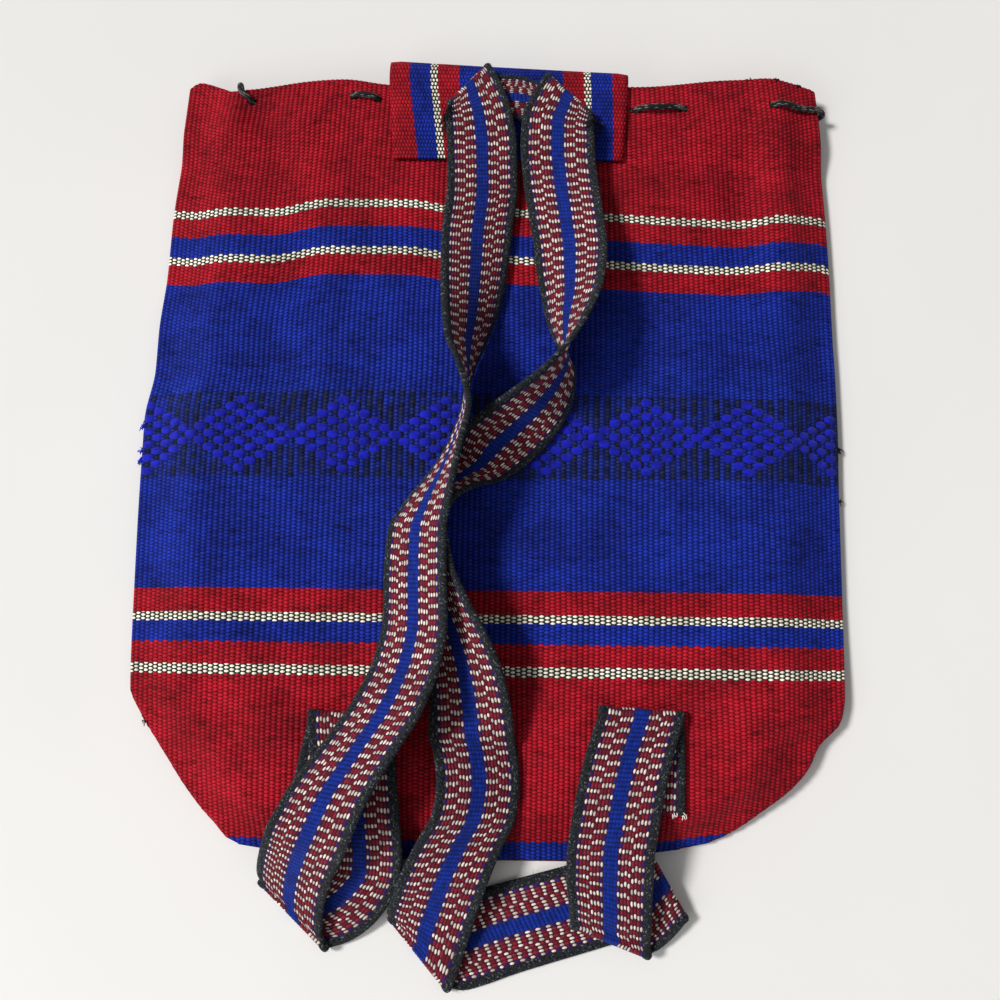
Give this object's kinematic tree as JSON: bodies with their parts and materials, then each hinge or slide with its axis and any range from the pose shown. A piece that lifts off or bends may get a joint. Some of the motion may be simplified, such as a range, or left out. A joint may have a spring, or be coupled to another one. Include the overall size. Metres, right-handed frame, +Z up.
{
  "type": "woven backpack",
  "caption": "Flat woven cloth bag with a drawstring mouth, a sewn flap over it and a continuous woven band that makes the shoulder straps.",
  "frame": {"origin": "middle of the box's underside, on the surface that the bag lies on", "axes": "+X across the bag, +Y from its bottom towards its mouth, +Z up, from the front that it lies on to the back that carries the straps"},
  "size_m": [0.3388, 0.4468, 0.0625],
  "materials": {
    "cloth": "ribbed handwoven cloth in blue, red and white stripes",
    "flap_cloth": "the same striped cloth, turned a quarter",
    "strap_band": "narrow woven band with black edges and white dashes",
    "cord": "black braided cord"
  },
  "bodies": {
    "root": {"bag_body": "cloth", "flap": "flap_cloth", "shoulder_strap": "strap_band", "drawstring": "cord"}
  },
  "joints": []
}
